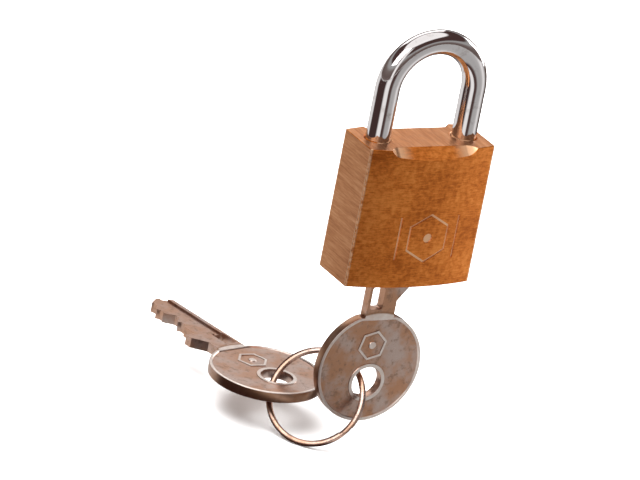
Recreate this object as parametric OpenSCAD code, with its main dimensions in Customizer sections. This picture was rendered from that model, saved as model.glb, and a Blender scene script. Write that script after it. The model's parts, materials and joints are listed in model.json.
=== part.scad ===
// A small brass pin-tumbler padlock with its key in the plug, and a spare key on a ring.
// The parts are drawn from the middle of the body's bottom face, with X across the legs,
// -Y towards the front face and +Z up, and are then hung from the inside of the shackle's bow.

/* [Body] */
// Width of the body, across the legs
body_w = 20; // [19:0.5:26]
// Height of the body
body_h = 20.6; // [20:0.1:26]
// Thickness at the flat end faces
body_end_t = 7.4; // [6.6:0.1:9]
// How far each bowed face stands out beyond the end faces' thickness
body_bow = 1.2; // [0.6:0.1:2]
// How far the top relief reaches inside the end faces' thickness
relief_inset = 0.5; // [0:0.1:1]
// Height of the sloped relief at the top, in the middle
relief_h = 1.4; // [0.6:0.1:2]
// Depth of the countersink round each leg
countersink_depth = 0.2; // [0.1:0.1:0.5]

/* [Shackle] */
// Diameter of the shackle
shackle_d = 3.5; // [2.8:0.1:4]
// Distance between the legs' axes
leg_pitch = 13.9; // [12.6:0.1:15]
// Straight length of each leg above the body
leg_rise = 7.3; // [4:0.1:20]
// How deep the toe leg goes into the body
toe_depth = 6.3; // [5.8:0.1:6.6]
// How far the shackle lifts when it is opened
lift = 6.0; // [5:0.1:6.4]
// Radial clearance of the legs in their bores
leg_clearance = 0.05; // [0.02:0.01:0.1]
// Diameter of the pin that keeps the heel leg in
heel_pin_d = 1.2; // [0.8:0.1:1.4]
// Height of the heel pin
heel_pin_z = 13; // [12.5:0.1:15]

/* [Bolt] */
// Diameter of the locking bolt
bolt_d = 2.4; // [2:0.1:2.6]
// Depth of the bolt's axis below the top of the body
bolt_below_top = 3.0; // [2.8:0.1:3.2]
// How far the bolt's nose enters the toe leg
bolt_engagement = 0.7; // [0.5:0.05:0.8]
// Radial clearance of the bolt in its bore
bolt_clearance = 0.05; // [0.02:0.01:0.1]
// Length of the plug that closes the bolt's bore
bolt_bore_plug_length = 1.0; // [0.8:0.1:1.2]

/* [Plug] */
// Diameter of the plug
plug_d = 6.0; // [5.6:0.1:6.2]
// Thickness of the plug's end above the keyway
plug_end_t = 2.0; // [1.9:0.1:2.4]
// Thickness of the wall between the plug's bore and the heel leg's bore
plug_wall = 0.8; // [0.7:0.05:0.9]
// Radial clearance of the plug in its bore
plug_clearance = 0.05; // [0.02:0.01:0.1]
// Depth of the retaining groove round the plug
groove_depth = 0.5; // [0.4:0.05:0.6]
// Diameter of the pin that keeps the plug in
plug_pin_d = 0.9; // [0.7:0.1:1]
// Thickness of the cam on the end of the plug
cam_t = 1.0; // [0.8:0.1:1.2]
// Distance of the cam's peg from the plug's axis
peg_throw = 1.7; // [1.5:0.05:1.8]
// Diameter of the cam's peg
peg_d = 1.0; // [0.8:0.1:1.1]

/* [Pins] */
// Diameter of the key pins and driver pins
pin_d = 1.8; // [1.6:0.1:1.9]
// Height of the first pin above the body's bottom face
pin_first = 2.6; // [2.4:0.1:2.8]
// Distance from one pin to the next
pin_pitch = 2.3; // [2.1:0.05:2.3]
// Length of each driver pin
driver_length = 2.2; // [1.8:0.1:2.6]
// Length of each brass plug that closes a pin chamber
chamber_plug_length = 1.2; // [0.8:0.1:1.5]

/* [Keys] */
// Thickness of the key's blade
blade_t = 1.5; // [1.3:0.1:1.9]
// How far the blade's tip reaches past the middle of the last cut
tip_past_cuts = 1.5; // [1.3:0.1:1.8]
// Gap from the body's bottom face to the key's shoulder
shoulder_gap = 0.7; // [0.3:0.1:1.2]
// How far the shoulder stands out from the blade
shoulder_out = 1.6; // [1:0.1:2]
// Length of the neck, from the shoulder to the bow
neck_length = 5.7; // [5.3:0.1:8]
// Radius of the key's bow
bow_r = 8.2; // [7:0.1:10]
// Height of the flat on the bow above the bow's centre
bow_flat = 7.7; // [6.5:0.1:8.1]
// Thickness of the bow inside its rim
bow_t = 1.2; // [1:0.1:1.5]
// Thickness of the bow's rim
rim_t = 1.5; // [1.3:0.1:1.9]
// Width of the bow's rim
rim_w = 0.5; // [0.3:0.1:1.2]
// Radius of the hole in the bow
bow_hole_r = 2.3; // [2.2:0.05:2.6]
// Distance of the hole's centre below the bow's centre
bow_hole_drop = 2.3; // [2:0.1:2.8]

/* [Ring] */
// Mean radius of the key ring
ring_r = 6.8; // [6.6:0.1:9]
// Diameter of the key ring's wire
ring_wire_d = 1.0; // [0.8:0.05:1]

/* [Springs] */
// Diameter of the springs' wire
spring_wire_d = 0.3; // [0.24:0.02:0.36]

/* [Hidden] */
$fn = 64;
press_gap = 0.01; // round pieces pressed into the body
loose_gap = 0.1; // pieces that pass each other
contact_gap = 0.02; // pieces that only touch

// how deep each pin's cut goes into the blade, from the shoulder to the tip
cuts = [0.6, 1.3, 0.3, 1.0];
cut_root = 0.8; // width of a cut's flat root
pin_count = len(cuts);

// the body
mid_t = body_end_t + 2 * body_bow;
face_r = (pow(body_w / 2, 2) + pow(body_bow, 2)) / (2 * body_bow);
relief_w = leg_pitch + 0.5;
relief_edge = body_end_t / 2 - relief_inset;
function face_y(x) = mid_t / 2 - face_r + sqrt(pow(face_r, 2) - pow(x, 2));

// the shackle
leg_x = leg_pitch / 2;
leg_bore_r = shackle_d / 2 + leg_clearance;
crown_z = body_h + leg_rise + leg_x - shackle_d / 2; // the inside of the bow
toe_end = body_h - toe_depth;
heel_pin_x = -leg_x - shackle_d / 2;
heel_flat_x = heel_pin_x + heel_pin_d / 2 + loose_gap;
heel_flat_top = heel_pin_z + heel_pin_d / 2 + loose_gap;
heel_flat_bottom = heel_pin_z - heel_pin_d / 2 - loose_gap - lift;
heel_end = heel_flat_bottom - 1.5;
heel_spring_length = 3;
heel_bore_end = heel_end - heel_spring_length;

// the plug and its cam
plug_bore_r = plug_d / 2 + plug_clearance;
plug_x = -(leg_x - leg_bore_r - plug_wall - plug_bore_r);
keyway_top = pin_first + (pin_count - 1) * pin_pitch + tip_past_cuts + 2 * loose_gap;
plug_length = keyway_top + plug_end_t;
groove_r = plug_d / 2 - groove_depth;
groove_w = plug_pin_d + loose_gap;
plug_pin_x = plug_x - groove_r - plug_clearance - plug_pin_d / 2;
plug_pin_z = plug_length - 1.1;
tenon_w = 2.0;
tenon_depth = 0.6;
cam_top = plug_length + cam_t;
cam_pocket_top = cam_top + 2 * loose_gap;

// the bolt, whose slot is over the peg at 45 degrees before the plug's axis and after it
bolt_z = body_h - bolt_below_top;
bolt_bore_r = bolt_d / 2 + bolt_clearance;
peg_angle = 45;
bolt_slot_x = plug_x + peg_throw * cos(peg_angle);
bolt_slot_w = peg_d + 2 * loose_gap;
bolt_slot_top = bolt_z - 0.2;
bolt_travel = 2 * peg_throw * cos(peg_angle);
bolt_tip = leg_x - shackle_d / 2 + bolt_engagement;
bolt_tail = bolt_slot_x - bolt_slot_w / 2 - 0.8;
bolt_nose = 0.9;
bolt_bore_end = bolt_tail - bolt_travel - 1.0;
peg_top = bolt_slot_top - 0.2;
peg_pocket_r = peg_throw + peg_d / 2 + loose_gap;
toe_notch_x = bolt_tip + 0.15;
toe_notch_top = bolt_z + bolt_d / 2 + loose_gap;
toe_notch_bottom = bolt_z - bolt_d / 2 - lift / 6 - loose_gap;

// the pins; a key pin's outer end lies just inside the plug's round surface
shear_x = plug_x + sqrt(pow(plug_d / 2, 2) - pow(pin_d / 2, 2));
driver_x = plug_x + plug_bore_r + contact_gap;
chamber_r = pin_d / 2 + leg_clearance;
chamber_plug_x = body_w / 2 - chamber_plug_length;
function pin_z(i) = pin_first + i * pin_pitch;
function cut_x(i) = plug_x + blade_w / 2 - cuts[i];

// the keys, drawn with the bow's hole at the origin and the tip towards +Z
blade_w = plug_d - 1.4;
bow_top = bow_hole_drop + bow_flat;
shoulder_top = bow_top + neck_length;
key_hole = [plug_x, 0, -shoulder_gap - shoulder_top];
blade_tip = pin_z(pin_count - 1) + tip_past_cuts - key_hole[2];
ward_x = -1.1; // middle of the groove along the blade
ward_w = 1.1;
ward_depth = 0.3;
window_w = 2.0;
window_h = 3.4;
window_x = -0.9; // middle of the window through the neck
window_below_shoulder = 1.05;
ward_start = shoulder_top - window_below_shoulder - 1; // the groove starts in the window

// the ring: its axis, and where on it the two keys hang
ring_turn = -145; // direction of its axis, round Z from +X
ring_tilt = 33; // its axis's angle above the horizontal
key_at = 128.4; // where on the ring the key hangs
key_slack = 0.45; // how far the ring lies inside the middle of the key's hole
spare_at = -93.4; // where on the ring the spare key hangs
spare_lift = -0.95; // how far the spare key's hole lies off the ring's plane
spare_turn = 191.2; // the spare key lies flat, turned round Z
function on_ring(r, at, off) =
    let (x = r * cos(at), y = r * sin(at), a = 90 - ring_tilt)
    let (across = x * cos(a) + off * sin(a), up = off * cos(a) - x * sin(a))
    [across * cos(ring_turn) - y * sin(ring_turn), across * sin(ring_turn) + y * cos(ring_turn), up];
ring_centre = key_hole - on_ring(ring_r + key_slack, key_at, 0);
spare_hole = ring_centre + on_ring(ring_r, spare_at, spare_lift);

// the springs
spring_sides = 8;
spring_steps = 12;

brass = "#b07a3c";
pale_brass = "#c89b5a";
chrome = "#d8d8da";
nickel = "#b3a7a2";
steel = "#9a9a9c";

// Hangs what is drawn from the body's bottom face on the origin, inside the bow.
module hang() {
    translate([0, 0, -crown_z]) children();
}

// A round bar along +X from x = a to x = b, at height z.
module bar_x(a, b, r, z, r2 = -1) {
    translate([a, 0, z]) rotate([0, 90, 0]) cylinder(h = b - a, r1 = r, r2 = r2 < 0 ? r : r2);
}

// A round bar along +Y from y = a to y = b.
module bar_y(x, z, r, a, b) {
    translate([x, b, z]) rotate([90, 0, 0]) cylinder(h = b - a, r = r);
}

// Draws something, and its mirror image in Y.
module on_both_sides() {
    children();
    mirror([0, 1, 0]) children();
}

// A coil of round wire along +Z, drawn as one swept tube.
module coil(length, mean_r, turns) {
    wire_r = spring_wire_d / 2;
    rings = turns * spring_steps;
    rise = length - spring_wire_d;
    lean = atan(rise / (turns * 2 * PI * mean_r));
    points = [
        for (i = [0 : rings])
        let (a = 360 * i / spring_steps, z = wire_r + rise * i / rings)
        for (k = [0 : spring_sides - 1])
        let (t = 360 * k / spring_sides, out = mean_r + wire_r * cos(t), up = wire_r * sin(t))
        [out * cos(a) + up * sin(lean) * sin(a), out * sin(a) - up * sin(lean) * cos(a), z + up * cos(lean)]
    ];
    start = [[for (k = [0 : spring_sides - 1]) k]];
    end = [[for (k = [spring_sides - 1 : -1 : 0]) rings * spring_sides + k]];
    sides = [
        for (i = [0 : rings - 1], k = [0 : spring_sides - 1])
        let (a = i * spring_sides + k, b = i * spring_sides + (k + 1) % spring_sides)
        each [[a, a + spring_sides, b + spring_sides], [a, b + spring_sides, b]]
    ];
    polyhedron(points = points, faces = concat(start, sides, end), convexity = 8);
}

// The body's block: flat ends, bowed faces and a sloped relief along each top edge.
module body_block() {
    difference() {
        intersection() {
            translate([-body_w / 2, -mid_t / 2, 0]) cube([body_w, mid_t, body_h]);
            inside_both_faces() translate([0, mid_t / 2 - face_r, -1])
                cylinder(h = body_h + 2, r = face_r, $fn = 128);
        }
        for (side = [-1, 1]) relief(side);
    }
}

// Keeps what lies inside both the front face's cylinder and the back face's.
module inside_both_faces() {
    intersection() {
        children();
        mirror([0, 1, 0]) children();
    }
}

// What the sloped relief takes off one top edge.
module relief(side) {
    run = mid_t / 2 - relief_edge;
    reach = 2;
    low = [relief_edge + run * reach, body_h - relief_h * reach];
    translate([-relief_w / 2, 0, 0]) rotate([90, 0, 90]) linear_extrude(relief_w)
        polygon([
            [side * relief_edge, body_h],
            [side * low[0], low[1]],
            [side * low[0], body_h + 1],
            [side * relief_edge, body_h + 1]
        ]);
}

module leg_bore(x, end) {
    translate([x, 0, end]) cylinder(h = body_h - end + 1, r = leg_bore_r);
    translate([x, 0, body_h - countersink_depth])
        cylinder(h = countersink_depth + 1, r1 = leg_bore_r, r2 = leg_bore_r + countersink_depth + 1);
}

module body() {
    color(brass) hang() difference() {
        body_block();
        leg_bore(-leg_x, heel_bore_end);
        leg_bore(leg_x, toe_end - 0.5);
        bar_y(heel_pin_x, heel_pin_z, heel_pin_d / 2 + press_gap, -2.5 - press_gap, mid_t);
        translate([plug_x, 0, -1]) cylinder(h = cam_pocket_top + 1, r = plug_bore_r);
        translate([plug_x, 0, 1]) cylinder(h = bolt_slot_top + 0.05 - 1, r = peg_pocket_r);
        bar_x(bolt_bore_end, body_w, bolt_bore_r, bolt_z);
        bar_y(plug_pin_x, plug_pin_z, plug_pin_d / 2 + press_gap, -2.5 - press_gap, mid_t);
        for (i = [0 : pin_count - 1]) bar_x(plug_x, body_w, chamber_r, pin_z(i));
    }
}

module shackle() {
    tip = 0.4;
    color(chrome) hang() difference() {
        union() {
            translate([0, 0, body_h + leg_rise]) rotate([90, 0, 0])
                rotate_extrude(angle = 180, $fn = 96) translate([leg_x, 0]) circle(r = shackle_d / 2);
            translate([leg_x, 0, toe_end + tip])
                cylinder(h = toe_depth + leg_rise - tip, r = shackle_d / 2);
            translate([leg_x, 0, toe_end]) cylinder(h = tip, r1 = shackle_d / 2 - tip, r2 = shackle_d / 2);
            translate([-leg_x, 0, heel_end])
                cylinder(h = body_h + leg_rise - heel_end, r = shackle_d / 2);
        }
        translate([toe_notch_x - 2, -shackle_d, toe_notch_bottom])
            cube([2, 2 * shackle_d, toe_notch_top - toe_notch_bottom]);
        translate([heel_flat_x - 2, -shackle_d, heel_flat_bottom])
            cube([2, 2 * shackle_d, heel_flat_top - heel_flat_bottom]);
    }
}

module shackle_spring() {
    color(steel) hang() translate([-leg_x, 0, heel_bore_end + contact_gap])
        coil(heel_spring_length - 2 * contact_gap, shackle_d / 2 - 0.4, 5);
}

module heel_pin() {
    color(steel) hang() bar_y(heel_pin_x, heel_pin_z, heel_pin_d / 2, -2.5, face_y(heel_pin_x) - 0.1);
}

module locking_bolt() {
    shaft_end = bolt_tip - bolt_nose;
    color(steel) hang() difference() {
        union() {
            bar_x(bolt_tail, shaft_end, bolt_d / 2, bolt_z);
            bar_x(shaft_end, bolt_tip, bolt_d / 2, bolt_z, bolt_d / 2 - bolt_nose);
        }
        translate([bolt_slot_x - bolt_slot_w / 2, -bolt_d, bolt_z - bolt_d])
            cube([bolt_slot_w, 2 * bolt_d, bolt_slot_top - bolt_z + bolt_d]);
    }
}

module bolt_spring() {
    color(steel) hang() translate([bolt_bore_end + contact_gap, 0, bolt_z]) rotate([0, 90, 0])
        coil(bolt_tail - bolt_bore_end - 2 * contact_gap, bolt_d / 2 - 0.35, 6);
}

module bolt_bore_plug() {
    color(pale_brass) hang()
        bar_x(body_w / 2 - bolt_bore_plug_length, body_w / 2, bolt_bore_r - press_gap, bolt_z);
}

module plug() {
    slot_w = blade_w + 2 * loose_gap;
    slot_t = blade_t + 2 * loose_gap;
    rib_w = ward_w - 2 * loose_gap;
    color(pale_brass) hang() translate([plug_x, 0, 0]) difference() {
        cylinder(h = plug_length, r = plug_d / 2);
        difference() {
            translate([-slot_w / 2, -slot_t / 2, -1]) cube([slot_w, slot_t, keyway_top + 1]);
            on_both_sides() translate([ward_x - rib_w / 2, blade_t / 2 - ward_depth + loose_gap, -2])
                cube([rib_w, slot_t, keyway_top + 3]);
        }
        for (i = [0 : pin_count - 1]) bar_x(1, plug_d, chamber_r, pin_z(i));
        difference() {
            translate([0, 0, plug_pin_z - groove_w / 2]) cylinder(h = groove_w, r = plug_d);
            translate([0, 0, plug_pin_z - groove_w]) cylinder(h = 2 * groove_w, r = groove_r);
        }
        translate([-tenon_w / 2, -tenon_w / 2, plug_length - tenon_depth - contact_gap])
            cube([tenon_w, tenon_w, 1]);
    }
}

module cam() {
    w = tenon_w - 2 * contact_gap;
    color(steel) hang() translate([plug_x, 0, 0]) union() {
        translate([-w / 2, -w / 2, plug_length - tenon_depth]) cube([w, w, tenon_depth + cam_t / 2]);
        translate([0, 0, plug_length + contact_gap])
            cylinder(h = cam_t - contact_gap, r = plug_d / 2 - loose_gap);
        rotate([0, 0, peg_angle]) translate([peg_throw, 0, plug_length + cam_t / 2])
            cylinder(h = peg_top - plug_length - cam_t / 2, r = peg_d / 2);
    }
}

module plug_pin() {
    color(steel) hang() bar_y(plug_pin_x, plug_pin_z, plug_pin_d / 2, -2.5, face_y(plug_pin_x) - 0.1);
}

// Key pin i: a cone that sits in its cut, and a shank that ends at the plug's surface.
module key_pin(i) {
    tip = pin_d / 2 - cut_root / 2 + contact_gap;
    start = cut_x(i) + contact_gap;
    color(pale_brass) hang() union() {
        bar_x(start, start + tip, cut_root / 2 - contact_gap, pin_z(i), pin_d / 2);
        bar_x(start + tip, shear_x, pin_d / 2, pin_z(i));
    }
}

module driver_pin(i) {
    color(nickel) hang() bar_x(driver_x, driver_x + driver_length, pin_d / 2, pin_z(i));
}

module pin_spring(i) {
    start = driver_x + driver_length + contact_gap;
    color(steel) hang() translate([start, 0, pin_z(i)]) rotate([0, 90, 0])
        coil(chamber_plug_x - contact_gap - start, pin_d / 2 - 0.2, 5);
}

module chamber_plug(i) {
    color(pale_brass) hang() bar_x(chamber_plug_x, body_w / 2, chamber_r - press_gap, pin_z(i));
}

// A key's blade and neck from the side: a shoulder, a bevelled tip and the pins' cuts.
module blade_side() {
    edge = blade_w / 2;
    difference() {
        polygon([
            [-edge, bow_top - 1],
            [edge, bow_top - 1],
            [edge, shoulder_top - 3.2],
            [edge + shoulder_out, shoulder_top - 1.2],
            [edge + shoulder_out, shoulder_top],
            [edge, shoulder_top],
            [edge, blade_tip - 1.4],
            [edge - 2.2, blade_tip],
            [edge - 3.2, blade_tip],
            [-edge, blade_tip - 1.2]
        ]);
        for (i = [0 : pin_count - 1]) {
            z = pin_z(i) - key_hole[2];
            half = cut_root / 2;
            translate([edge - cuts[i], z])
                polygon([[0, -half], [0, half], [3, half + 3], [3, -half - 3]]);
        }
        translate([window_x - window_w / 2, shoulder_top - window_below_shoulder - window_h])
            square([window_w, window_h]);
    }
}

// The bow from the side, without its hole, smaller all round by inset.
module bow_side(inset = 0) {
    intersection() {
        translate([0, bow_hole_drop]) circle(r = bow_r - inset, $fn = 96);
        translate([-bow_r, bow_top - inset - 2 * bow_r]) square([2 * bow_r, 2 * bow_r]);
    }
}

// Extrudes a side view through the thickness t, about the middle.
module plate(t) {
    rotate([90, 0, 0]) translate([0, 0, -t / 2]) linear_extrude(t) children();
}

module key_shape() {
    difference() {
        union() {
            plate(blade_t) blade_side();
            plate(bow_t) bow_side();
            plate(rim_t) difference() {
                bow_side();
                bow_side(rim_w);
            }
        }
        on_both_sides() translate([ward_x - ward_w / 2, blade_t / 2 - ward_depth, ward_start])
            cube([ward_w, 2 * ward_depth, blade_tip]);
        rotate([90, 0, 0]) cylinder(h = 2 * rim_t, r = bow_hole_r, center = true);
    }
}

module key() {
    color(nickel) hang() translate(key_hole) key_shape();
}

module spare_key() {
    color(nickel) hang() translate(spare_hole) rotate([90, 0, spare_turn]) key_shape();
}

module key_ring() {
    color(nickel) hang() translate(ring_centre) rotate([0, 90 - ring_tilt, ring_turn])
        rotate_extrude($fn = 96) translate([ring_r, 0]) circle(r = ring_wire_d / 2);
}

body();
shackle();
shackle_spring();
heel_pin();
locking_bolt();
bolt_spring();
bolt_bore_plug();
plug();
cam();
plug_pin();
key_pin(0);  // key_pin_1
key_pin(1);  // key_pin_2
key_pin(2);  // key_pin_3
key_pin(3);  // key_pin_4
driver_pin(0);  // driver_pin_1
driver_pin(1);  // driver_pin_2
driver_pin(2);  // driver_pin_3
driver_pin(3);  // driver_pin_4
pin_spring(0);  // pin_spring_1
pin_spring(1);  // pin_spring_2
pin_spring(2);  // pin_spring_3
pin_spring(3);  // pin_spring_4
chamber_plug(0);  // chamber_plug_1
chamber_plug(1);  // chamber_plug_2
chamber_plug(2);  // chamber_plug_3
chamber_plug(3);  // chamber_plug_4
key();
key_ring();
spare_key();
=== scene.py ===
import json
import math

import bpy
from mathutils import Matrix, Vector


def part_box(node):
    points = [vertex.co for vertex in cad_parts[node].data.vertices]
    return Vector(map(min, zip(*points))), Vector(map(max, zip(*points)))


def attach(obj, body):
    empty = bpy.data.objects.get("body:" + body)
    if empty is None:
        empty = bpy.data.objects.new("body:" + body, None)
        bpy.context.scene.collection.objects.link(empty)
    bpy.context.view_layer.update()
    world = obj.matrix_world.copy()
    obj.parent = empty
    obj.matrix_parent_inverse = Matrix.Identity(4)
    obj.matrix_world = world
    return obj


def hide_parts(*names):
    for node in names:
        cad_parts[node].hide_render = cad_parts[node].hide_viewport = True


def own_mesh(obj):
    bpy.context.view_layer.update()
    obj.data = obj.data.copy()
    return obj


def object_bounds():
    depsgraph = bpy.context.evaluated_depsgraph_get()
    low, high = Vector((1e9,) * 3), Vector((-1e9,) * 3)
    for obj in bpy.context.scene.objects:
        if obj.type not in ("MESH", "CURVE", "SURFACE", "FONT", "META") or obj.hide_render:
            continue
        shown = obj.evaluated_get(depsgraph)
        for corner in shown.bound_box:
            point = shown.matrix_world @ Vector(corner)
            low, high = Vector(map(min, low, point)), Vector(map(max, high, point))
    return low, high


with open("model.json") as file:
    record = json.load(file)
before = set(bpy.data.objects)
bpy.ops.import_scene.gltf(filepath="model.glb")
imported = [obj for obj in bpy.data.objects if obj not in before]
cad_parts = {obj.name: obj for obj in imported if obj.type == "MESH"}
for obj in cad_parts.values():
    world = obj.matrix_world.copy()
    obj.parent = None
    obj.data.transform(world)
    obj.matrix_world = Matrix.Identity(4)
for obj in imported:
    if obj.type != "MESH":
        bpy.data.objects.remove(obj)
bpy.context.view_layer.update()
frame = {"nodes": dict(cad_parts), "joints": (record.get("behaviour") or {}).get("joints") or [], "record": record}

MM = 0.001
bpy.context.scene.view_settings.view_transform = "Standard"

# ---------------------------------------------------------------- sizes in millimetres, from the frame


def box_mm(node):
    low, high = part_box(node)
    return low / MM, high / MM


body_low, body_high = box_mm("body")
shackle_low, shackle_high = box_mm("shackle")
plug_low, plug_high = box_mm("plug")
bolt_low, bolt_high = box_mm("locking_bolt")
key_low, key_high = box_mm("key")

BOTTOM = body_low.z
TOP = body_high.z
HALF_W = body_high.x
HALF_T = body_high.y  # at the middle of the bowed faces
END_HALF_T = HALF_T - 1.2
FACE_R = (HALF_W ** 2 + (HALF_T - END_HALF_T) ** 2) / (2 * (HALF_T - END_HALF_T))

RELIEF_START = 3.2  # from the middle of the top to where its slope begins
RELIEF_DROP = 1.4
RELIEF_PAST_LEG = 0.47
COVE_R = 2.0
EMBLEM_DEPTH = 0.13
EMBLEM_X = 1.2
EMBLEM_Z = BOTTOM + 7.4
EMBLEM_R, EMBLEM_INNER_R, EMBLEM_DOT_R = 3.7, 3.35, 0.7
EMBLEM_LINE_X = 4.7  # from the emblem's middle
EMBLEM_LINE_HALF = (0.15, 3.2)  # half its width and half its height

SHACKLE_R = shackle_high.y
LEG_X = shackle_high.x - SHACKLE_R
BEND_Z = shackle_high.z - LEG_X - SHACKLE_R
HEEL_END = shackle_low.z
TOE_END = TOP - 6.3
RUNNING_GAP = 0.05  # between a round piece and its bore
LEG_BORE_R = SHACKLE_R + RUNNING_GAP
COUNTERSINK = 0.2

PLUG_X = (plug_low.x + plug_high.x) / 2
PLUG_R = (plug_high.x - plug_low.x) / 2
BOLT_Z = (bolt_low.z + bolt_high.z) / 2
BOLT_R = (bolt_high.z - bolt_low.z) / 2
CHAMBER_R = 0.95
PEG_POCKET_R = 2.3

BOW_R = (key_high.x - key_low.x) / 2
BOW_RISE = 2.3  # the bow's centre above its hole
KEY_HOLE_R = 2.3
KEY_HOLE = Vector((PLUG_X, 0, key_low.z + BOW_R - BOW_RISE))
BOW_TOP = 10.0
BOW_T = 1.2
RIM_T = key_high.y - key_low.y
RIM_W = 0.5
SHOULDER = 15.7
BLADE_TIP = key_high.z - KEY_HOLE.z
BLADE_W = 4.6
BLADE_T = 1.5
CUTS = [0.6, 1.3, 0.3, 1.0]
CUT_ROOT = 0.4  # half of each cut's flat bottom
TIP_BEVEL = (2.2, 1.4)  # in from the bitted edge, and back from the tip
WINDOW_X = (-1.9, 0.1)
WINDOW_Z = (SHOULDER - 4.45, SHOULDER - 1.05)
WARD_X = (-1.65, -0.55)
WARD_DEPTH = 0.3
RAISED = 0.13  # the lip and the mark, before they sink a little into the bow
LIP_R = (KEY_HOLE_R + 0.05, KEY_HOLE_R + 0.55)
MARK_R = (1.95, 2.3)
MARK_AT = Vector((-0.2, 0, 5.7))  # from the hole
PIN_Z = [BOTTOM + 2.6 + 2.3 * i for i in range(4)]

ring_joint = next(j for j in frame["joints"] if j["name"] == "spare_key_travel")
RING_CENTRE = Vector(ring_joint["pos_m"]) / MM
RING_R = 6.8
RING_LAYER = 0.21  # each turn's height from the middle of the two
WIRE_HALF = (0.40, 0.20)  # half the wire's section, across the ring and along its axis
RING_TURN = math.radians(-145)
RING_TILT = math.radians(33)
SPARE_TURN = math.radians(191.2)

# ---------------------------------------------------------------- camera

VIEW_RIGHT = Vector((0.861, -0.477, 0.179))
VIEW_BACK = Vector((-0.5085, -0.7813, 0.364))
VIEW_MARGIN = 1.16
ASPECT = 4 / 3


def add_camera():
    """A long lens from the front left and a little above, leaning so that the padlock tilts right."""
    back = VIEW_BACK.normalized()
    right = (VIEW_RIGHT - back * VIEW_RIGHT.dot(back)).normalized()
    up = back.cross(right)
    points = [v.co for node in frame["nodes"].values() for v in node.data.vertices]
    middle = Vector((0, 0, 0))
    spans = []
    for axis in (right, up, back):
        reach = [point.dot(axis) for point in points]
        middle += axis * (min(reach) + max(reach)) / 2
        spans.append(max(reach) - min(reach))
    distance = 1.0
    data = bpy.data.cameras.new("camera")
    data.sensor_width = 36
    width = max(spans[0], spans[1] * ASPECT) * VIEW_MARGIN
    data.lens = data.sensor_width * distance / width
    data.clip_start = 0.05
    data.clip_end = 20
    camera = bpy.data.objects.new("camera", data)
    bpy.context.scene.collection.objects.link(camera)
    turn = Matrix((right, up, back)).transposed().to_4x4()
    camera.matrix_world = Matrix.Translation(middle + back * distance) @ turn
    bpy.context.scene.camera = camera


add_camera()

# ---------------------------------------------------------------- modelling tools


def deselect():
    if bpy.context.object and bpy.context.object.mode != "OBJECT":
        bpy.ops.object.mode_set(mode="OBJECT")
    bpy.ops.object.select_all(action="DESELECT")


def make_active(piece):
    deselect()
    piece.select_set(True)
    bpy.context.view_layer.objects.active = piece


def name_new(name):
    """Applies the new primitive's place and gives it its name."""
    piece = bpy.context.object
    bpy.ops.object.transform_apply(location=True, rotation=True, scale=True)
    piece.name = name
    piece.data.name = name
    return piece


def block(name, low, high):
    deselect()
    low, high = Vector(low), Vector(high)
    bpy.ops.mesh.primitive_cube_add(size=1, location=(low + high) / 2, scale=high - low)
    return name_new(name)


def rod(name, start, end, radius, end_radius=None, sides=64):
    """A closed round bar or cone from start to end."""
    deselect()
    start, end = Vector(start), Vector(end)
    along = end - start
    bpy.ops.mesh.primitive_cone_add(
        vertices=sides,
        radius1=radius,
        radius2=radius if end_radius is None else end_radius,
        depth=along.length,
        location=(start + end) / 2,
        rotation=along.to_track_quat("Z", "Y").to_euler(),
    )
    return name_new(name)


def edit(piece):
    make_active(piece)
    bpy.ops.object.mode_set(mode="EDIT")
    bpy.ops.mesh.select_mode(type="VERT")
    bpy.ops.mesh.select_all(action="DESELECT")


def pick_faces(piece, wanted):
    """Selects the faces whose centre and normal are wanted."""
    bpy.ops.mesh.select_mode(type="FACE")
    bpy.ops.object.mode_set(mode="OBJECT")
    for point in piece.data.vertices:
        point.select = False
    for edge in piece.data.edges:
        edge.select = False
    for face in piece.data.polygons:
        face.select = bool(wanted(face.center, face.normal))
    bpy.ops.object.mode_set(mode="EDIT")


def pick_edges(piece, wanted):
    """Selects the edges whose two ends are wanted."""
    bpy.ops.mesh.select_mode(type="EDGE")
    bpy.ops.object.mode_set(mode="OBJECT")
    points = piece.data.vertices
    for face in piece.data.polygons:
        face.select = False
    for point in points:
        point.select = False
    for edge in piece.data.edges:
        a, b = (points[i].co for i in edge.vertices)
        edge.select = bool(wanted(a, b))
    bpy.ops.object.mode_set(mode="EDIT")


def bisect(piece, place, normal):
    """Cuts the piece by a plane, takes away the side that the normal points to and closes the cut."""
    edit(piece)
    bpy.ops.mesh.select_all(action="SELECT")
    bpy.ops.mesh.bisect(plane_co=place, plane_no=normal, use_fill=True, clear_outer=True)
    deselect()


def outline(name, points, thickness):
    """Draws an outline in the XZ plane with one point, fills it and thickens it along Y."""
    deselect()
    bpy.ops.mesh.primitive_plane_add(size=1, location=(0, 0, 0))
    piece = name_new(name)
    edit(piece)
    bpy.ops.mesh.select_all(action="SELECT")
    bpy.ops.mesh.merge(type="CENTER")
    at = Vector((points[0][0], -thickness / 2, points[0][1]))
    bpy.ops.transform.translate(value=at)
    for x, z in points[1:]:
        to = Vector((x, -thickness / 2, z))
        bpy.ops.mesh.extrude_region_move(TRANSFORM_OT_translate={"value": to - at})
        at = to
    bpy.ops.mesh.select_all(action="SELECT")
    bpy.ops.mesh.edge_face_add()
    bpy.ops.mesh.extrude_region_move(TRANSFORM_OT_translate={"value": (0, thickness, 0)})
    bpy.ops.mesh.select_all(action="SELECT")
    bpy.ops.mesh.normals_make_consistent(inside=False)
    deselect()
    return piece


def apply(piece, kind, **settings):
    """Adds one modifier and applies it."""
    make_active(piece)
    modifier = piece.modifiers.new(kind.lower(), kind)
    for key, value in settings.items():
        setattr(modifier, key, value)
    bpy.ops.object.modifier_apply(modifier=modifier.name)
    return piece


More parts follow.
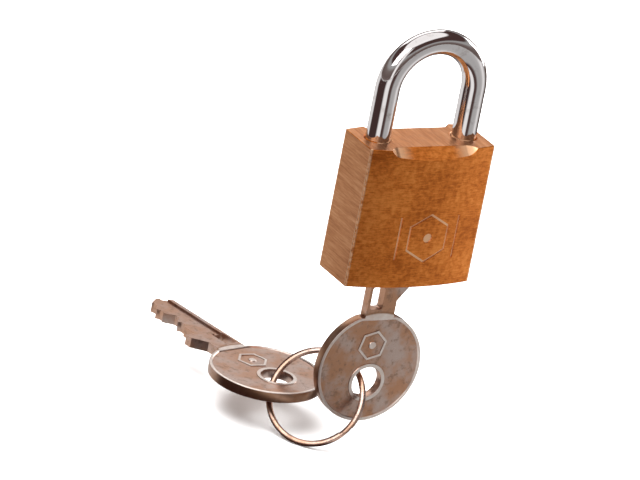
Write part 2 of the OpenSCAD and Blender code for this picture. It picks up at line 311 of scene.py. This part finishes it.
def combine(piece, other, operation):
    """Cuts, joins or intersects the piece with another, which is then gone."""
    apply(piece, "BOOLEAN", operation=operation, object=other, solver="MANIFOLD")
    bpy.data.objects.remove(other)
    return piece


def cut(piece, *cutters):
    for cutter in cutters:
        combine(piece, cutter, "DIFFERENCE")
    return piece


def soften(piece, width, segments=3, angle=30):
    """Rounds every edge sharper than the angle."""
    return apply(
        piece,
        "BEVEL",
        width=width,
        segments=segments,
        limit_method="ANGLE",
        angle_limit=math.radians(angle),
    )


def tidy(piece, reach=0.002):
    """Merges points that lie within reach of each other and points all faces outwards."""
    edit(piece)
    bpy.ops.mesh.select_all(action="SELECT")
    bpy.ops.mesh.remove_doubles(threshold=reach)
    bpy.ops.mesh.dissolve_degenerate(threshold=0.001)
    bpy.ops.mesh.select_all(action="SELECT")
    bpy.ops.mesh.normals_make_consistent(inside=False)
    deselect()
    return piece


def copy_of(piece, name):
    deselect()
    twin = piece.copy()
    twin.data = piece.data.copy()
    twin.name = twin.data.name = name
    bpy.context.scene.collection.objects.link(twin)
    return twin


def put(piece, matrix):
    """Moves the piece's mesh, and leaves its object at the origin."""
    make_active(piece)
    piece.matrix_world = matrix
    bpy.ops.object.transform_apply(location=True, rotation=True, scale=True)
    return piece


def hand_over(piece, body, nodes, angle=30):
    """Brings the finished piece to metres, shades it and lets it ride and stand for its CAD nodes."""
    put(piece, Matrix.Scale(MM, 4))
    bpy.ops.object.shade_smooth_by_angle(angle=math.radians(angle))
    apply(piece, "WEIGHTED_NORMAL", keep_sharp=True, weight=80)
    deselect()
    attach(piece, body)
    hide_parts(*nodes)
    return piece


# ---------------------------------------------------------------- body


def relief_cutter(side):
    """The cutter that mills the slope along one top edge and runs out in a round cove at each end."""
    half_length = LEG_X + RELIEF_PAST_LEG
    cutter = block("relief", (-half_length, -4, 0), (half_length, 4, 4))
    edit(cutter)
    pick_edges(cutter, lambda a, b: a.z < 1 and b.z < 1 and abs(a.x - b.x) < 1)
    bpy.ops.mesh.bevel(offset=COVE_R, segments=12, affect="EDGES")
    deselect()
    slope = math.atan2(RELIEF_DROP, HALF_T - RELIEF_START)
    turn = Matrix.Rotation(-side * slope, 4, "X")
    return put(cutter, Matrix.Translation((0, side * RELIEF_START, TOP)) @ turn)


def emblem_cutter():
    """A hexagon with a dot in it, between two upright lines, cut into the bowed front face."""
    centre = Vector((EMBLEM_X, 0, EMBLEM_Z))
    reach = Vector((0, -8, 0))
    mark = rod("emblem", centre, centre + reach, EMBLEM_R, sides=6)
    start, end = centre + Vector((0, 1, 0)), centre + reach * 1.2
    cut(mark, rod("emblem_inside", start, end, EMBLEM_INNER_R, sides=6))
    combine(mark, rod("emblem_dot", centre, centre + reach, EMBLEM_DOT_R, sides=32), "UNION")
    half_w, half_h = EMBLEM_LINE_HALF
    for x in (-EMBLEM_LINE_X, EMBLEM_LINE_X):
        low = centre + reach + Vector((x - half_w, 0, -half_h))
        high = centre + Vector((x + half_w, 0, half_h))
        combine(mark, block("emblem_line", low, high), "UNION")
    y = FACE_R - HALF_T
    inner_r = FACE_R - EMBLEM_DEPTH
    return cut(mark, rod("inner_face", (0, y, BOTTOM - 1), (0, y, TOP + 1), inner_r, sides=720))


def body():
    """The bowed block, rounded, with its reliefs, emblem and every bore that the lock needs."""
    piece = block("lock_body", (-HALF_W, -HALF_T, BOTTOM), (HALF_W, HALF_T, TOP))
    for side in (-1, 1):
        y = side * (FACE_R - HALF_T)
        bow = rod("bow", (0, y, BOTTOM - 1), (0, y, TOP + 1), FACE_R, sides=720)
        combine(piece, bow, "INTERSECT")
    soften(piece, 0.3, 3, 25)
    cut(piece, relief_cutter(-1), relief_cutter(1))
    cut(piece, emblem_cutter())
    for x, end in ((-LEG_X, HEEL_END - 3), (LEG_X, TOE_END - 0.5)):
        cut(piece, rod("leg_bore", (x, 0, end), (x, 0, TOP + 1), LEG_BORE_R))
        low, high = (x, 0, TOP - COUNTERSINK), (x, 0, TOP + 0.1)
        cut(piece, rod("sink", low, high, LEG_BORE_R, LEG_BORE_R + COUNTERSINK + 0.1))
    bore_top = plug_high.z + 1.2
    cut(piece, rod("plug_bore", (PLUG_X, 0, BOTTOM - 1), (PLUG_X, 0, bore_top), PLUG_R + RUNNING_GAP))
    cut(piece, rod("peg_pocket", (PLUG_X, 0, bore_top - 1), (PLUG_X, 0, BOLT_Z - 0.15), PEG_POCKET_R))
    low, high = (bolt_low.x - 3.4, 0, BOLT_Z), (HALF_W + 1, 0, BOLT_Z)
    cut(piece, rod("bolt_bore", low, high, BOLT_R + RUNNING_GAP, sides=48))
    for z in PIN_Z:
        cut(piece, rod("chamber", (PLUG_X, 0, z), (HALF_W + 1, 0, z), CHAMBER_R, sides=48))
    for pin in ("heel_pin", "plug_pin"):
        low, high = box_mm(pin)
        x, z = (low.x + high.x) / 2, (low.z + high.z) / 2
        hole_r = (high.x - low.x) / 2 + 0.01
        cut(piece, rod("pin_hole", (x, low.y, z), (x, HALF_T + 1, z), hole_r, sides=32))
    tidy(piece)
    return hand_over(piece, "case", ["body"], 25)


# ---------------------------------------------------------------- shackle


def shackle():
    """A round bar spun through the bow and drawn down both legs, then notched and flattened."""
    deselect()
    start = (LEG_X, 0, BEND_Z)
    bpy.ops.mesh.primitive_circle_add(vertices=64, radius=SHACKLE_R, fill_type="NGON", location=start)
    piece = name_new("shackle_bar")
    edit(piece)
    bpy.ops.mesh.select_all(action="SELECT")
    bpy.ops.mesh.spin(steps=96, angle=math.pi, center=(0, 0, BEND_Z), axis=(0, 1, 0))
    for x, end, chamfer in ((LEG_X, TOE_END, 0.4), (-LEG_X, HEEL_END, 0.2)):
        pick_faces(piece, lambda c, n: abs(c.x - x) < 0.1 and abs(c.z - BEND_Z) < 0.001)
        for fall in (end + chamfer - BEND_Z, -chamfer):
            bpy.ops.mesh.extrude_region_move(TRANSFORM_OT_translate={"value": (0, 0, fall)})
        shrink = (SHACKLE_R - chamfer) / SHACKLE_R
        bpy.ops.transform.resize(value=(shrink, shrink, 1), center_override=(x, 0, end))
    deselect()
    tidy(piece)
    half_y = 2 * SHACKLE_R
    x = bolt_high.x + 0.15
    low, high = (x - 2, -half_y, BOLT_Z - BOLT_R - 1.1), (x, half_y, BOLT_Z + BOLT_R + 0.1)
    cut(piece, block("toe_notch", low, high))
    pin_low, pin_high = box_mm("heel_pin")
    x = pin_high.x + 0.1
    low, high = (x - 2, -half_y, pin_low.z - 6.1), (x, half_y, pin_high.z + 0.1)
    cut(piece, block("heel_flat", low, high))
    return hand_over(piece, "shackle", ["shackle"], 35)


# ---------------------------------------------------------------- keys


def blade_outline():
    """The neck, shoulder, bitted edge and tip from the side, going round from the bow's spine side."""
    edge = BLADE_W / 2
    points = [
        (-edge, BOW_TOP - 0.3),
        (edge, BOW_TOP - 0.3),
        (edge, SHOULDER - 3.2),
        (edge + 1.6, SHOULDER - 1.2),
        (edge + 1.6, SHOULDER),
        (edge, SHOULDER),
    ]
    for i, depth in enumerate(CUTS):
        z = PIN_Z[i] - KEY_HOLE.z
        low, high = z - CUT_ROOT, z + CUT_ROOT
        if i:
            half_gap = (PIN_Z[i] - PIN_Z[i - 1]) / 2 - CUT_ROOT
            peak = (depth + CUTS[i - 1]) / 2 - half_gap
            if peak > 0:
                points.append((edge - peak, low - (depth - peak)))
            else:
                points += [(edge, low - depth + 2 * peak), (edge, low - depth)]
        else:
            points.append((edge, low - depth))
        points += [(edge - depth, low), (edge - depth, high)]
    # from the last cut the edge rises until it meets the tip's bevel
    tip_in, tip_back = TIP_BEVEL
    steepness = tip_back / tip_in
    meet = (BLADE_TIP - high - tip_back + steepness * depth) / (1 + steepness)
    points += [
        (edge - depth + meet, high + meet),
        (edge - tip_in, BLADE_TIP),
        (edge - tip_in - 1, BLADE_TIP),
        (-edge, BLADE_TIP - 1.2),
    ]
    return points


def raised_ring(centre, rise, inner, outer, sides, twist=0.0):
    """A ring or frame that stands on the bow, with sloping sides."""
    slant = 0.06
    piece = rod("raised", centre, centre + rise, outer + slant, outer, sides=sides)
    low, high = centre - rise, centre + 2 * rise
    cut(piece, rod("raised_inside", low, high, inner - 2 * slant, inner + slant, sides=sides))
    if twist:
        turn = Matrix.Rotation(twist, 4, "Y")
        put(piece, Matrix.Translation(centre) @ turn @ Matrix.Translation(-centre))
    return piece


def key_blank(name):
    """A key with its bow's hole at the origin and its tip towards +Z."""
    centre = Vector((0, 0, BOW_RISE))
    half = Vector((0, RIM_T / 2, 0))
    bow = rod(name, centre - half, centre + half, BOW_R, sides=160)
    bisect(bow, (0, 0, BOW_TOP), (0, 0, 1))
    tidy(bow, 0.2)
    edit(bow)
    pick_faces(bow, lambda c, n: abs(n.y) > 0.9)
    bpy.ops.mesh.inset(thickness=RIM_W - 0.12, depth=0)
    bpy.ops.mesh.inset(thickness=0.15, depth=-(RIM_T - BOW_T) / 2)
    deselect()
    soften(bow, 0.1, 3, 50)
    blade = outline("blade", blade_outline(), BLADE_T)
    low, high = (WINDOW_X[0], -2, WINDOW_Z[0]), (WINDOW_X[1], 2, WINDOW_Z[1])
    window = block("window", low, high)
    edit(window)
    pick_edges(window, lambda a, b: abs(a.y - b.y) > 1)
    bpy.ops.mesh.bevel(offset=0.35, segments=5, affect="EDGES")
    deselect()
    cut(blade, window)
    for side in (-1, 1):
        y = side * BLADE_T / 2
        low = (WARD_X[0], y - WARD_DEPTH, SHOULDER - 2)
        high = (WARD_X[1], y + WARD_DEPTH, BLADE_TIP + 1)
        cut(blade, block("groove", low, high))
    soften(blade, 0.06, 2, 28)
    combine(bow, blade, "UNION")
    for side in (-1, 1):
        rise = Vector((0, side * RAISED, 0))
        face = Vector((0, side * (BOW_T / 2 - 0.02), 0))
        combine(bow, raised_ring(face, rise, *LIP_R, 96), "UNION")
        mark_at = face + MARK_AT
        combine(bow, raised_ring(mark_at, rise, *MARK_R, 6, 0.26), "UNION")
        combine(bow, rod("mark_dot", mark_at, mark_at + rise, 0.62, 0.52, sides=32), "UNION")
    cut(bow, rod("hole", (0, -2, 0), (0, 2, 0), KEY_HOLE_R, sides=96))
    return tidy(bow)


def keys():
    """The key in the plug, and its copy laid flat where the spare key hangs."""
    key = key_blank("key_in_plug")
    spare = copy_of(key, "key_on_ring")
    put(key, Matrix.Translation(KEY_HOLE))
    spare_low, spare_high = box_mm("spare_key")
    flat = Matrix.Rotation(SPARE_TURN, 4, "Z") @ Matrix.Rotation(math.pi / 2, 4, "X")
    put(spare, flat)
    xs, ys, zs = zip(*(point.co for point in spare.data.vertices))
    low = Vector((min(xs), min(ys), min(zs)))
    high = Vector((max(xs), max(ys), max(zs)))
    to_node = Matrix.Translation((spare_low + spare_high - low - high) / 2)
    put(spare, to_node)
    hand_over(key, "cylinder", ["key"], 28)
    hand_over(spare, "spare", ["spare_key"], 28)
    rise = Vector((0, 0, BOW_RISE))
    key_nickel("inserted_key_nickel", 1.0, KEY_HOLE + rise, (0, 1, 0)).give(key)
    key_nickel("spare_key_nickel", 0.8, to_node @ flat @ rise, (0, 0, 1)).give(spare)


# ---------------------------------------------------------------- split ring


def split_ring():
    """Two flat turns of wire side by side, with a short jog from one to the other."""
    turns, steps, jog = 2, 96, 0.11
    start = math.radians(70)
    path = bpy.data.curves.new("split_ring", "CURVE")
    path.dimensions = "3D"
    path.twist_mode = "Z_UP"
    line = path.splines.new("POLY")
    count = turns * steps - 3
    line.points.add(count - 1)
    for i in range(count):
        share = i / (count - 1)
        step = min(max((share - 0.5) / jog + 0.5, 0), 1)
        height = RING_LAYER * (2 * step * step * (3 - 2 * step) - 1)
        angle = start + 2 * math.pi * i / steps
        line.points[i].co = (RING_R * math.cos(angle), RING_R * math.sin(angle), height, 1)
    profile_data = bpy.data.curves.new("wire_section", "CURVE")
    profile_data.dimensions = "2D"
    section = profile_data.splines.new("POLY")
    sides = 20
    section.points.add(sides - 1)
    for k in range(sides):
        a = 2 * math.pi * k / sides
        flat_x = math.copysign(abs(math.cos(a)) ** 0.8, math.cos(a))
        flat_y = math.copysign(abs(math.sin(a)) ** 0.8, math.sin(a))
        section.points[k].co = (WIRE_HALF[0] * flat_x, WIRE_HALF[1] * flat_y, 0, 1)
    section.use_cyclic_u = True
    profile = bpy.data.objects.new("wire_section", profile_data)
    bpy.context.scene.collection.objects.link(profile)
    path.bevel_mode = "OBJECT"
    path.bevel_object = profile
    path.use_fill_caps = True
    piece = bpy.data.objects.new("split_ring", path)
    bpy.context.scene.collection.objects.link(piece)
    make_active(piece)
    bpy.ops.object.convert(target="MESH")
    piece = bpy.context.object
    bpy.data.objects.remove(profile)
    turn = Matrix.Rotation(RING_TURN, 4, "Z") @ Matrix.Rotation(math.pi / 2 - RING_TILT, 4, "Y")
    put(piece, Matrix.Translation(RING_CENTRE) @ turn)
    tidy(piece)
    return hand_over(piece, "ring", ["key_ring"], 40)


# ---------------------------------------------------------------- the bolt's spring


def bolt_coil():
    """The bolt's spring, copied from its CAD node. The share of its length that it would keep with the bolt drawn
    back is worked out, but the coil is not made to shorten.
    """
    coil = copy_of(frame["nodes"]["bolt_spring"], "bolt_coil")
    put(coil, Matrix.Scale(1 / MM, 4))
    tidy(coil, 0.0005)
    low, high = box_mm("bolt_spring")
    hand_over(coil, "case", ["bolt_spring"], 40)
    slides = {joint["name"]: joint for joint in frame["record"]["behaviour"]["joints"]}
    travel = slides["bolt_slide"]["range_m"][1]
    keep = 1 - travel / ((high.x - low.x) * MM)
    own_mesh(coil)
    return coil


# ---------------------------------------------------------------- materials


class Field:
    """A socket that arithmetic adds Math nodes to."""

    def __init__(self, finish, socket):
        self.finish = finish
        self.socket = socket

    def math(self, operation, *others):
        inputs = dict(enumerate((self, *others)))
        return self.finish.node("ShaderNodeMath", {"operation": operation}, inputs)

    def __add__(self, other):
        return self.math("ADD", other)

    def __sub__(self, other):
        return self.math("SUBTRACT", other)

    def __rsub__(self, other):
        return self.finish.node("ShaderNodeMath", {"operation": "SUBTRACT"}, {0: other, 1: self})

    def __mul__(self, other):
        return self.math("MULTIPLY", other)

    def __abs__(self):
        return self.math("ABSOLUTE")

    __radd__ = __add__
    __rmul__ = __mul__

    def clamp(self):
        return self.finish.node("ShaderNodeClamp", {}, {"Value": self})

    def between(self, low, high):
        """0 below low, 1 above high, and smooth from one to the other."""
        return self.finish.node(
            "ShaderNodeMapRange",
            {"interpolation_type": "SMOOTHSTEP"},
            {"Value": self, "From Min": low, "From Max": high, "To Min": 0, "To Max": 1},
        )


def set_stops(ramp, stops):
    """Gives a colour ramp its stops, each a position and a colour."""
    while len(ramp.elements) > 1:
        ramp.elements.remove(ramp.elements[-1])
    ramp.elements[0].position = stops[0][0]
    ramp.elements[0].color = (*stops[0][1], 1)
    for position, colour in stops[1:]:
        ramp.elements.new(position).color = (*colour, 1)


class Finish:
    """A material, its nodes and its Principled shader."""

    def __init__(self, name, metallic=1.0):
        self.material = bpy.data.materials.new(name)
        self.material.use_nodes = True
        self.tree = self.material.node_tree
        self.shader = next(n for n in self.tree.nodes if n.type == "BSDF_PRINCIPLED")
        self.shader.inputs["Metallic"].default_value = metallic
        self.place = self.node("ShaderNodeTexCoord", {}, {}, "Object")

    def node(self, kind, settings, inputs, output=0):
        node = self.tree.nodes.new(kind)
        for key, value in settings.items():
            if key == "stops":
                set_stops(node.color_ramp, value)
            else:
                setattr(node, key, value)
        for key, value in inputs.items():
            self.feed(node.inputs[key], value)
        return Field(self, node.outputs[output])

    def feed(self, socket, value):
        if isinstance(value, Field):
            self.tree.links.new(value.socket, socket)
        elif isinstance(value, tuple) and len(value) == 3 and socket.type == "RGBA":
            socket.default_value = (*value, 1)
        else:
            socket.default_value = value

    def set(self, **values):
        """Sets the shader's sockets, whose names are given with underscores for spaces."""
        for key, value in values.items():
            self.feed(self.shader.inputs[key.replace("_", " ")], value)

    def stretched(self, scale, turn=(0, 0, 0)):
        inputs = {"Vector": self.place, "Scale": scale, "Rotation": turn}
        return self.node("ShaderNodeMapping", {}, inputs)

    def noise(self, scale, detail, roughness, place=None):
        return self.node(
            "ShaderNodeTexNoise",
            {},
            {"Vector": place or self.place, "Scale": scale, "Detail": detail, "Roughness": roughness},
        )

    def ramp(self, field, *stops):
        return self.node("ShaderNodeValToRGB", {"stops": stops}, {"Fac": field})

    def blend(self, share, a, b):
        return self.node(
            "ShaderNodeMix",
            {"data_type": "RGBA", "clamp_factor": True},
            {0: share, 6: a, 7: b},
            2,
        )

    def axes(self):
        split = self.tree.nodes.new("ShaderNodeSeparateXYZ")
        self.feed(split.inputs[0], self.place)
        return [Field(self, socket) for socket in split.outputs]

    def rough_surface(self, height, distance, strength):
        inputs = {"Height": height, "Distance": distance, "Strength": strength}
        self.set(Normal=self.node("ShaderNodeBump", {}, inputs))

    def give(self, *pieces):
        for piece in pieces:
            piece.data.materials.clear()
            piece.data.materials.append(self.material)


def brushed_brass(name):
    """Brushed brass with coarse saw marks on the ends, a painted highlight on the upright edges and in the
    relief's coves, and lighter emblem grooves.
    """
    f = Finish(name)
    x, y, z = f.axes()
    end = abs(x).between((HALF_W - 0.02) * MM, (HALF_W - 0.01) * MM)
    top = z.between((TOP - 0.02) * MM, (TOP - 0.01) * MM)
    saw = f.noise(1.0, 4, 0.65, f.stretched((1500, 130, 1500)))
    fine_saw = f.noise(1.0, 2, 0.6, f.stretched((4200, 420, 4200)))
    brush = f.noise(1.0, 3, 0.6, f.stretched((900, 900, 6000)))
    mottle = f.noise(1400, 4, 0.65)
    cloud = f.noise(160, 3, 0.5)
    rubs = f.noise(1.0, 3, 0.6, f.stretched((300, 300, 2600), (0.0, 0.5, 0.0)))
    cut_marks = saw * 0.65 + fine_saw * 0.35
    tone = f.ramp(
        (mottle * 0.4 + cloud * 0.3 + brush * 0.3).clamp(),
        (0.40, (0.46, 0.120, 0.019)),
        (0.5, (0.70, 0.205, 0.036)),
        (0.60, (0.90, 0.315, 0.070)),
    )
    cut_tone = f.ramp(
        cut_marks,
        (0.34, (0.40, 0.150, 0.050)),
        (0.5, (0.58, 0.255, 0.105)),
        (0.66, (0.74, 0.39, 0.19)),
    )
    colour = f.blend((end + top * 0.8).clamp(), tone, cut_tone)
    # painted highlight along the upright edges between the ends and the bowed faces, broken up by the mottle
    edge = abs(x).between((HALF_W - 0.36) * MM, (HALF_W - 0.2) * MM)
    edge = edge * abs(y).between((END_HALF_T - 0.3) * MM, (END_HALF_T - 0.16) * MM)
    painted_highlight_and_pale_grooves = (edge * (mottle.between(0.36, 0.6) * 0.6 + 0.15)).clamp()
    off_centre = abs(y) + (FACE_R - HALF_T) * MM
    depth = FACE_R * MM - (x * x + off_centre * off_centre).math("SQRT")
    # below the bowed face: the coves of the relief, and the emblem
    sunk = depth.between(0.04 * MM, 0.08 * MM) * (1 - top)
    # painted highlight in the relief's coves at both ends of each slope
    cove = sunk * abs(x).between(3.0 * MM, 5.6 * MM) * z.between((TOP - 2.6) * MM, (TOP - 2.4) * MM)
    cove = cove * (1 - abs(x).between(7.8 * MM, 8.0 * MM))
    in_emblem = sunk * (1 - abs(x - EMBLEM_X * MM).between(5.0 * MM, 5.1 * MM))
    in_emblem = in_emblem * (1 - abs(z - EMBLEM_Z * MM).between(4.0 * MM, 4.1 * MM))
    in_emblem = in_emblem * (1 - y.between(-4.2 * MM, -4.0 * MM))
    # the edges' and coves' painted highlight and the lighter emblem grooves, all mixed towards pale brass
    painted_highlight_and_pale_grooves = (painted_highlight_and_pale_grooves + in_emblem * (0.3 + cloud * 0.9) + cove * 0.7).clamp()
    colour = f.blend(painted_highlight_and_pale_grooves, colour, (0.95, 0.62, 0.38))
    roughness = 0.27 + cut_marks * 0.14 * end + brush * 0.10 + mottle * 0.08 + rubs * 0.06
    f.set(Base_Color=colour, Roughness=(roughness - painted_highlight_and_pale_grooves * 0.08).clamp())
    height = cut_marks * (end + top).clamp() * 1.6 + brush * 0.35 + mottle * 0.3 + rubs * 0.15
    f.rough_surface(height, 0.02 * MM, 0.7)
    return f


def turned_brass(name):
    """Paler brass with fine rings from the lathe."""
    f = Finish(name)
    grain = f.noise(900, 3, 0.6)
    tone = f.ramp(grain, (0.3, (0.58, 0.31, 0.11)), (0.7, (0.74, 0.45, 0.19)))
    rings = f.noise(1.0, 2, 0.5, f.stretched((400, 400, 9000)))
    f.set(Base_Color=tone, Roughness=(0.24 + rings * 0.16).clamp())
    f.rough_surface(rings + grain * 0.4, 0.006 * MM, 0.6)
    return f


def chrome():
    """Bright plating over a drawn bar, with faint drawing lines, fine rubs and dust."""
    f = Finish("chrome_plate")
    lines = f.noise(1.0, 2, 0.5, f.stretched((4200, 4200, 60)))
    rubs = f.noise(420, 5, 0.65)
    patches = rubs.between(0.56, 0.74)
    tone = f.ramp(patches, (0.0, (0.70, 0.665, 0.66)), (1.0, (0.54, 0.49, 0.47)))
    f.set(Base_Color=tone, Roughness=(0.05 + patches * 0.10 + lines * 0.03).clamp())
    f.rough_surface(lines * 0.5 + rubs * 0.5, 0.004 * MM, 0.4)
    return f


def nickel(name, warmth, roughness):
    """Nickel plate over brass: pink-grey, brown where it is rubbed thin, with fine scuffs and pits."""
    f = Finish(name)
    cloud = f.noise(230, 4, 0.6)
    scuffs = f.noise(1.0, 4, 0.6, f.stretched((5200, 5200, 420), (0.2, 0.5, 0.3)))
    pits = f.noise(1100, 4, 0.65)
    thin = (cloud.between(0.34, 0.62) * warmth).clamp()
    tone = f.blend(thin, (0.54, 0.41, 0.355), (0.50, 0.265, 0.16))
    f.tone = f.blend(pits.between(0.50, 0.68) * 0.6, tone, (0.25, 0.15, 0.105))
    f.set(Base_Color=f.tone, Roughness=(roughness + scuffs * 0.12 + thin * 0.05 + pits * 0.06).clamp())
    f.rough_surface(scuffs * 0.5 + pits * 0.6 + cloud * 0.6, 0.014 * MM, 0.7)
    return f


def key_nickel(name, warmth, bow_centre, through):
    """Key plate, with a painted highlight on the raised rim, lip and mark, which are also rubbed, and painted
    shade in dark brown at the bow's outer edge, where brass shows through.
    """
    f = nickel(name, warmth, 0.2)
    centre = tuple(v * MM for v in bow_centre)
    off = f.node("ShaderNodeVectorMath", {"operation": "SUBTRACT"}, {0: f.place, 1: centre})
    away = f.node("ShaderNodeVectorMath", {"operation": "LENGTH"}, {0: off}, "Value")
    across = f.node("ShaderNodeVectorMath", {"operation": "DOT_PRODUCT"}, {0: off, 1: through}, "Value")
    # painted highlight on the raised rim, lip and mark, where the plate is also rubbed
    rubbed = abs(across).between((BOW_T / 2 + 0.03) * MM, (BOW_T / 2 + 0.09) * MM)
    rubbed = rubbed * (1 - away.between(BOW_R * MM, (BOW_R + 0.3) * MM))
    # painted shade: dark brown on the bow's outer edge, over brass showing through
    edge = away.between((BOW_R - 0.1) * MM, (BOW_R - 0.03) * MM) * (1 - rubbed)
    edge = edge * (1 - away.between((BOW_R + 0.3) * MM, (BOW_R + 0.6) * MM))
    patches = f.noise(900, 3, 0.6)
    tone = f.blend(edge * (0.5 + patches * 0.5), f.tone, (0.30, 0.155, 0.085))
    tone = f.blend((rubbed * (0.35 + patches * 0.8)).clamp(), tone, (0.88, 0.80, 0.74))
    f.set(Base_Color=tone)
    return f


def bare_steel(name, tone, roughness):
    """Unplated steel with a fine grain and faint drawing lines."""
    f = Finish(name)
    grain = f.noise(1300, 4, 0.6)
    lines = f.noise(1.0, 2, 0.5, f.stretched((700, 7000, 700)))
    colour = f.ramp(grain, (0.3, tuple(v * 0.8 for v in tone)), (0.7, tone))
    f.set(Base_Color=colour, Roughness=(roughness + lines * 0.14).clamp())
    f.rough_surface(grain * 0.5 + lines * 0.5, 0.006 * MM, 0.5)
    return f


# ---------------------------------------------------------------- floor, light


def grey(value):
    return (value, value, value)


BROWN_BLACK = (0.07, 0.040, 0.038)
# what the metal sees low down, all the way round from the left past the front
SEEN_BELOW = (
    (0.0, BROWN_BLACK),
    (0.08, BROWN_BLACK),
    (0.115, grey(1.1)),
    (0.18, grey(1.1)),
    (0.20, (0.09, 0.055, 0.05)),
    (0.245, (0.10, 0.06, 0.055)),
    (0.28, grey(0.52)),
    (0.33, grey(0.52)),
    (0.38, grey(0.60)),
    (0.43, grey(1.1)),
    (0.48, grey(0.6)),
    (0.51, (0.16, 0.12, 0.11)),
    (0.62, (0.10, 0.07, 0.06)),
    (0.68, (0.28, 0.25, 0.24)),
    (0.76, grey(0.85)),
    (0.875, grey(1.0)),
    (0.905, BROWN_BLACK),
    (1.0, BROWN_BLACK),
)
# and from the horizon up to straight above
SEEN_ABOVE = (
    (0.0, (0.20, 0.16, 0.15)),
    (0.08, (0.16, 0.12, 0.11)),
    (0.24, (0.22, 0.18, 0.17)),
    (0.33, grey(0.42)),
    (0.42, grey(0.42)),
    (0.48, (0.08, 0.045, 0.042)),
    (0.79, (0.08, 0.045, 0.042)),
    (0.835, grey(1.3)),
    (1.0, grey(1.2)),
)


class Room(Finish):
    """The world: banded from the horizon upwards, with a bright upright strip to the front left."""

    def __init__(self):
        world = bpy.data.worlds.new("room")
        bpy.context.scene.world = world
        world.use_nodes = True
        self.tree = world.node_tree
        self.shader = self.tree.nodes["Background"]
        self.place = self.node("ShaderNodeTexCoord", {}, {}, "Generated")

    def paint(self):
        x, y, z = self.axes()
        out_x, out_y = VIEW_BACK.xy.normalized()
        ahead = (x * out_x + y * out_y).between(0.0, 0.1)
        narrow = 1 - abs(x * out_y - y * out_x).between(0.09, 0.16)
        strip = ahead * narrow * (1 - z.between(0.7, 0.8))
        self.set(Color=self.blend(strip, self.ramp(z, *SEEN_ABOVE), grey(1.2)), Strength=1.0)


def floor_at(height):
    deselect()
    bpy.ops.mesh.primitive_plane_add(size=6, location=(0, 0, height))
    floor = name_new("floor")
    paint = Finish("floor_paint", metallic=0.0)
    speck = paint.noise(30, 2, 0.5)
    paint.set(Base_Color=paint.ramp(speck, (0.3, grey(0.90)), (0.7, grey(0.92))), Roughness=0.8)
    paint.give(floor)


def glowing_disc_at(height):
    """A disc that only reflections see."""
    deselect()
    place = (0, 0, height)
    bpy.ops.mesh.primitive_circle_add(vertices=96, radius=1.5, fill_type="NGON", location=place)
    disc = name_new("seen_below")
    glow = Finish("seen_below", metallic=0.0)
    x, y, _ = glow.axes()
    share_of_turn = y.math("ARCTAN2", x) * (0.5 / math.pi) + 0.5
    glow.set(
        Base_Color=grey(0.0),
        Roughness=1.0,
        Specular_IOR_Level=0.0,
        Emission_Strength=1.0,
        Emission_Color=glow.ramp(share_of_turn, *SEEN_BELOW),
    )
    glow.give(disc)
    disc.visible_camera = False
    disc.visible_diffuse = False
    disc.visible_shadow = False


def lamp(name, direction, distance, size, watts):
    """A soft rectangular lamp that faces the padlock."""
    data = bpy.data.lights.new(name, "AREA")
    data.shape = "RECTANGLE"
    data.size, data.size_y = size
    data.energy = watts
    lit = bpy.data.objects.new(name, data)
    bpy.context.scene.collection.objects.link(lit)
    centre = Vector((0, 0, -0.03))
    away = Vector(direction).normalized()
    turn = away.to_track_quat("Z", "Y").to_matrix().to_4x4()
    lit.matrix_world = Matrix.Translation(centre + away * distance) @ turn
    return lit


# ---------------------------------------------------------------- putting it together

lock_body = body()
shackle_bar = shackle()
keys()
ring = split_ring()
coil = bolt_coil()

brushed_brass("body_brass").give(lock_body)
chrome().give(shackle_bar)
nickel("ring_nickel", 0.7, 0.1).give(ring)

nodes = frame["nodes"]
pin_numbers = range(1, 5)
plugs = [nodes[f"chamber_plug_{i}"] for i in pin_numbers] + [nodes["bolt_bore_plug"]]
brushed_brass("plug_brass").give(*plugs)
turned_brass("core_brass").give(nodes["plug"], *(nodes[f"key_pin_{i}"] for i in pin_numbers))
bare_steel("bolt_steel", (0.55, 0.55, 0.56), 0.28).give(nodes["locking_bolt"], nodes["cam"])
bare_steel("pin_steel", (0.62, 0.62, 0.63), 0.22).give(
    nodes["heel_pin"], nodes["plug_pin"], *(nodes[f"driver_pin_{i}"] for i in pin_numbers)
)
bare_steel("spring_steel", (0.50, 0.50, 0.52), 0.2).give(
    nodes["shackle_spring"], coil, *(nodes[f"pin_spring_{i}"] for i in pin_numbers)
)

floor_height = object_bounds()[0][2] - 0.02 * MM
floor_at(floor_height)
glowing_disc_at(floor_height + 0.01 * MM)
Room().paint()
ceiling = lamp("ceiling_lamp", (-0.15, -0.1, 1.0), 1.1, (1.4, 1.4), 42)
ceiling.visible_glossy = False
lamp("key_lamp", (-0.9, -0.35, 0.9), 0.6, (0.35, 0.35), 1.2)
lamp("right_lamp", (1.0, 0.25, 0.2), 0.6, (0.3, 0.3), 1.0)
lamp("back_lamp", (0.2, 0.9, 0.7), 0.7, (0.6, 0.3), 1.0)
